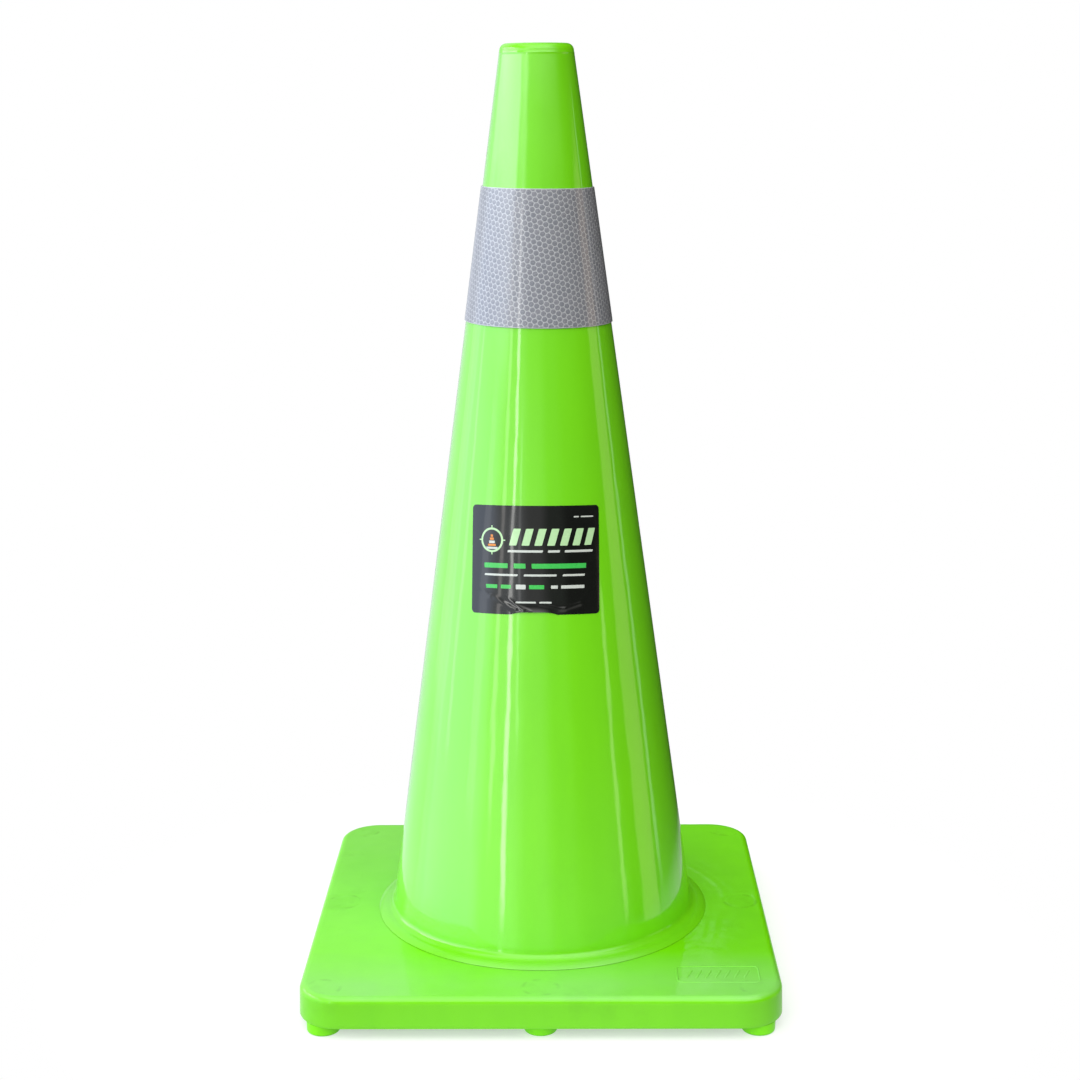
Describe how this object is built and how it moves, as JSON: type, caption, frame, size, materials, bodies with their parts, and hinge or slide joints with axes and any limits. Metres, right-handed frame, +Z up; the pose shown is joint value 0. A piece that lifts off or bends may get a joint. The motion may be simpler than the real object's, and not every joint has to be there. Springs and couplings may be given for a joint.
{
  "type": "traffic cone",
  "caption": "Tall hollow traffic cone with a small hole at its top, a reflective collar and a blank label, locked into a square ribbed base on short round feet.",
  "frame": {"origin": "on the ground, on the cone's axis, level with the undersides of the feet", "axes": "+Z up along the cone's axis; -Y is the labelled front; +X is to the right seen from the front"},
  "size_m": [0.353, 0.353, 0.7],
  "materials": {
    "cone_pvc": "glossy fluorescent lime flexible PVC",
    "base_pvc": "glossy fluorescent lime flexible PVC",
    "foot_pvc": "satin fluorescent lime PVC",
    "collar_backing_pvc": "pale grey-white PVC backing sheet",
    "prismatic_film": "clear glossy prismatic film over small hexagonal cells",
    "label_vinyl": "glossy black printed vinyl"
  },
  "bodies": {
    "root": {"cone_body": "cone_pvc", "base": "base_pvc", "foot_front_left": "foot_pvc", "foot_front_mid": "foot_pvc", "foot_front_right": "foot_pvc", "foot_left_mid": "foot_pvc", "foot_right_mid": "foot_pvc", "foot_back_left": "foot_pvc", "foot_back_mid": "foot_pvc", "foot_back_right": "foot_pvc", "collar_backing": "collar_backing_pvc", "collar_prism_film": "prismatic_film", "label": "label_vinyl"}
  },
  "joints": []
}
